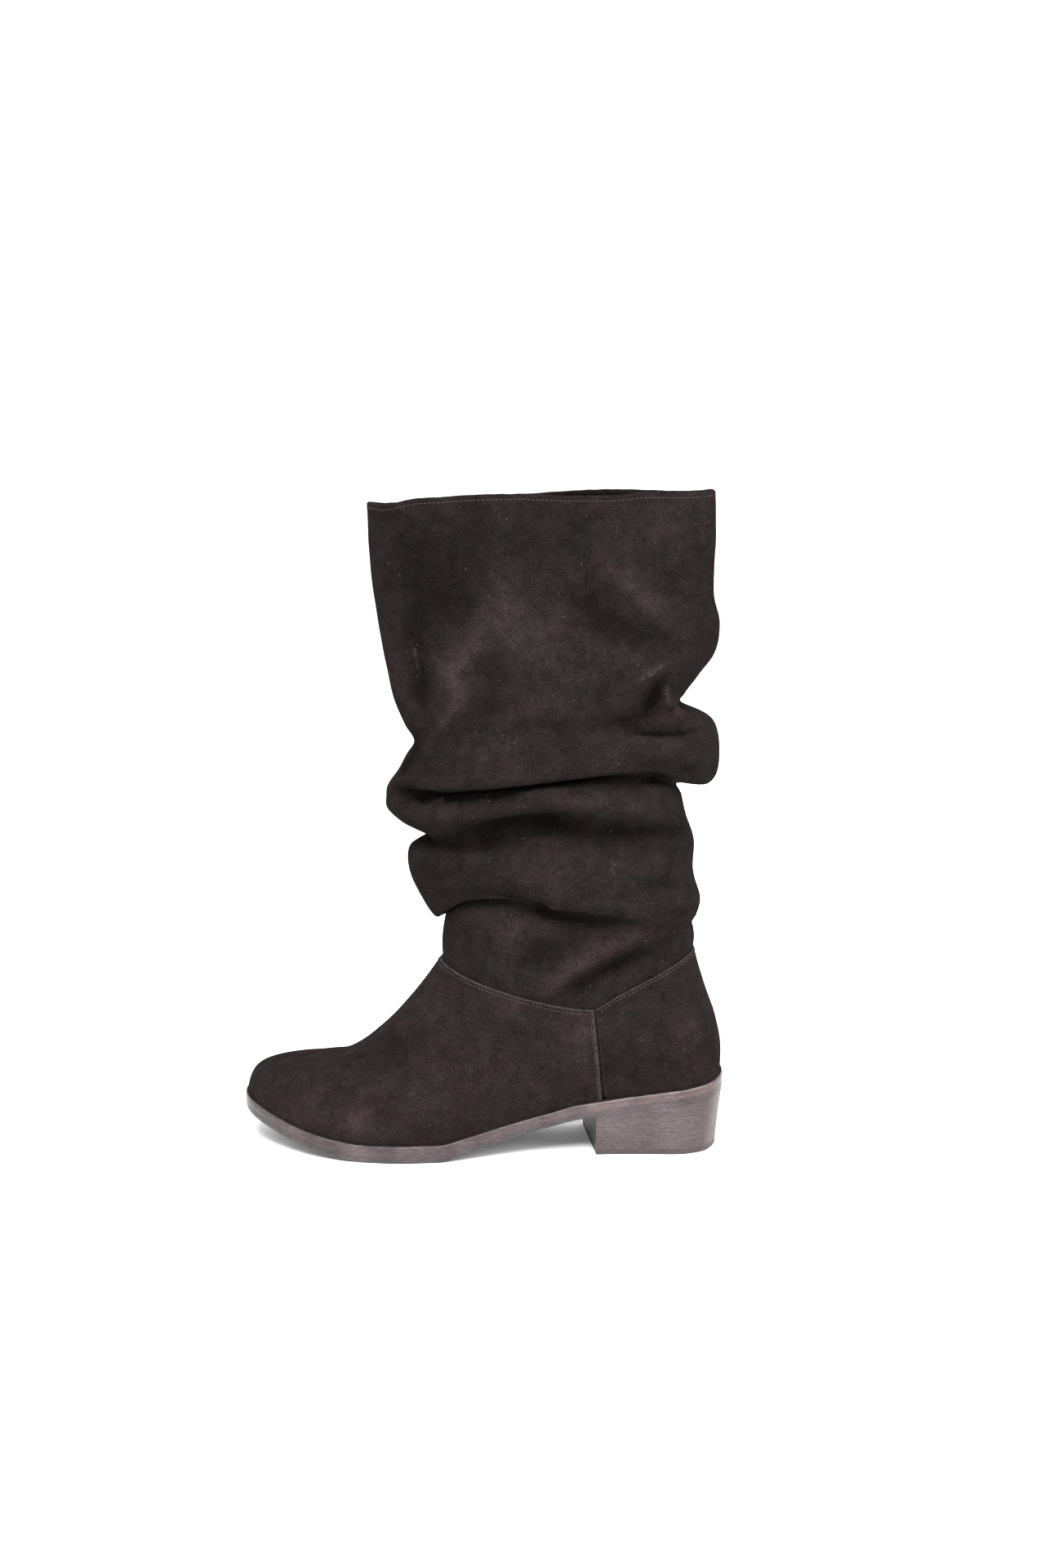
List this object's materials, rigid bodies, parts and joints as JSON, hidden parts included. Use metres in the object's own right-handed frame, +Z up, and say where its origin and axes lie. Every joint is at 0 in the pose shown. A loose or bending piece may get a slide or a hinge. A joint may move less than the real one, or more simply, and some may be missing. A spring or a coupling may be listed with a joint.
{
  "type": "slouch boot",
  "caption": "Left slouch boot in dark suede: folded shaft open at the collar, lapped vamp and heel counter, flat-edged sole and a low stacked heel.",
  "frame": {"origin": "on the floor, at the middle of the heel's resting face", "axes": "+Z up out of the collar, -X to the toe, +X to the heel, -Y to the outer side of the foot and +Y to the inner side"},
  "size_m": [0.263, 0.0965, 0.3571],
  "materials": {
    "suede": "napped",
    "vamp_suede": "napped",
    "counter_suede": "napped",
    "sock": "matt",
    "sole_leather": "burnished edge",
    "stacked_leather": "burnished edge",
    "lift_rubber": "matt"
  },
  "bodies": {
    "root": {"upper": "suede", "vamp": "vamp_suede", "heel_counter": "counter_suede", "insole": "sock", "outsole": "sole_leather", "heel_block": "stacked_leather", "top_lift": "lift_rubber"}
  },
  "joints": []
}
